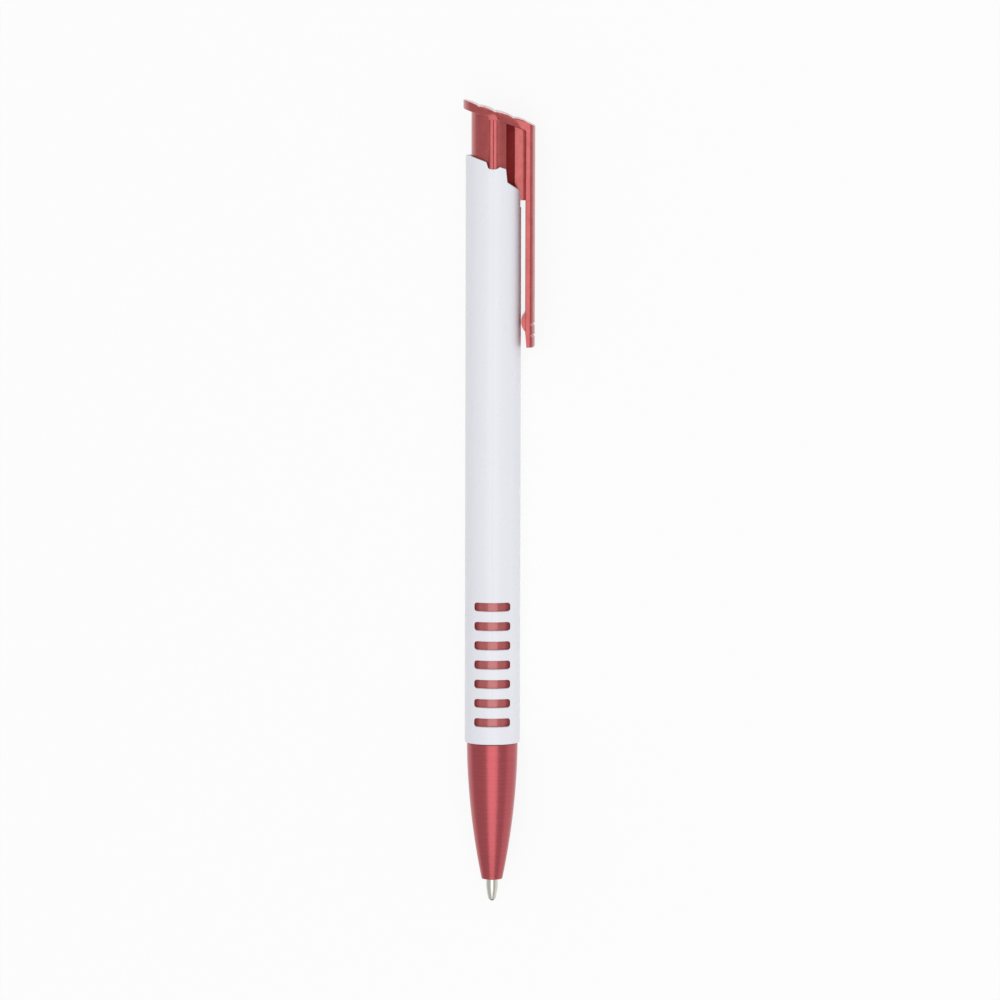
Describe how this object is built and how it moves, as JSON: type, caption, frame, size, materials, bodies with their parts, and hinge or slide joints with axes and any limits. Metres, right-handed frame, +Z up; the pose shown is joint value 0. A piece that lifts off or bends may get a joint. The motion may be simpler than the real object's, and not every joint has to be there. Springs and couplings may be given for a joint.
{
  "type": "click ballpoint pen",
  "caption": "Click ballpoint pen lying on its side: white barrel with finger slots, red metallic nose cone, and a red push button and pocket clip in one moulding.",
  "frame": {"origin": "middle of the lying pen's outline, on the surface that it lies on", "axes": "+Y along the pen from its writing tip to its push button, +Z up from the surface, +X to the side where the clip meets the surface"},
  "size_m": [0.013, 0.1456, 0.0102],
  "materials": {
    "barrel_plastic": "glossy white moulded plastic",
    "nose_plastic": "satin red metallic coat on plastic",
    "plunger_plastic": "glossy red moulded plastic",
    "rotor_plastic": "natural acetal",
    "tube_plastic": "clear polypropylene",
    "ink": "oil based ink",
    "holder_plastic": "plain moulded plastic",
    "nickel_silver": "turned nickel silver",
    "carbide": "polished carbide",
    "spring_wire": "drawn spring wire"
  },
  "bodies": {
    "barrel": {"barrel": "barrel_plastic", "nose_cone": "nose_plastic", "spring": "spring_wire"},
    "plunger": {"plunger_clip": "plunger_plastic"},
    "refill": {"ink_tube": "tube_plastic", "ink_column": "ink", "tip_holder": "holder_plastic", "writing_tip": "nickel_silver"},
    "rotor": {"cam_rotor": "rotor_plastic"},
    "ball": {"writing_ball": "carbide"}
  },
  "joints": [
    {"name": "plunger_slide", "type": "slide", "parent": "barrel", "child": "plunger", "axis": [0, 1, 0], "range_m": [-0.001, 0.005]},
    {"name": "refill_slide", "type": "slide", "parent": "barrel", "child": "refill", "axis": [0, 1, 0], "range_m": [-0.001, 0.005], "deforming": ["spring"]},
    {"name": "rotor_turn", "type": "hinge", "parent": "refill", "child": "rotor", "pos_m": [-0.00105, 0.03871, 0.005], "axis": [0, 1, 0], "continuous": true},
    {"name": "ball_roll", "type": "hinge", "parent": "refill", "child": "ball", "pos_m": [-0.00105, -0.07227, 0.005], "axis": [0.9539, 0, -0.3], "continuous": true}
  ],
  "couplings": [
    {"joint": "refill_slide", "follows": "plunger_slide", "ratio": 1}
  ]
}
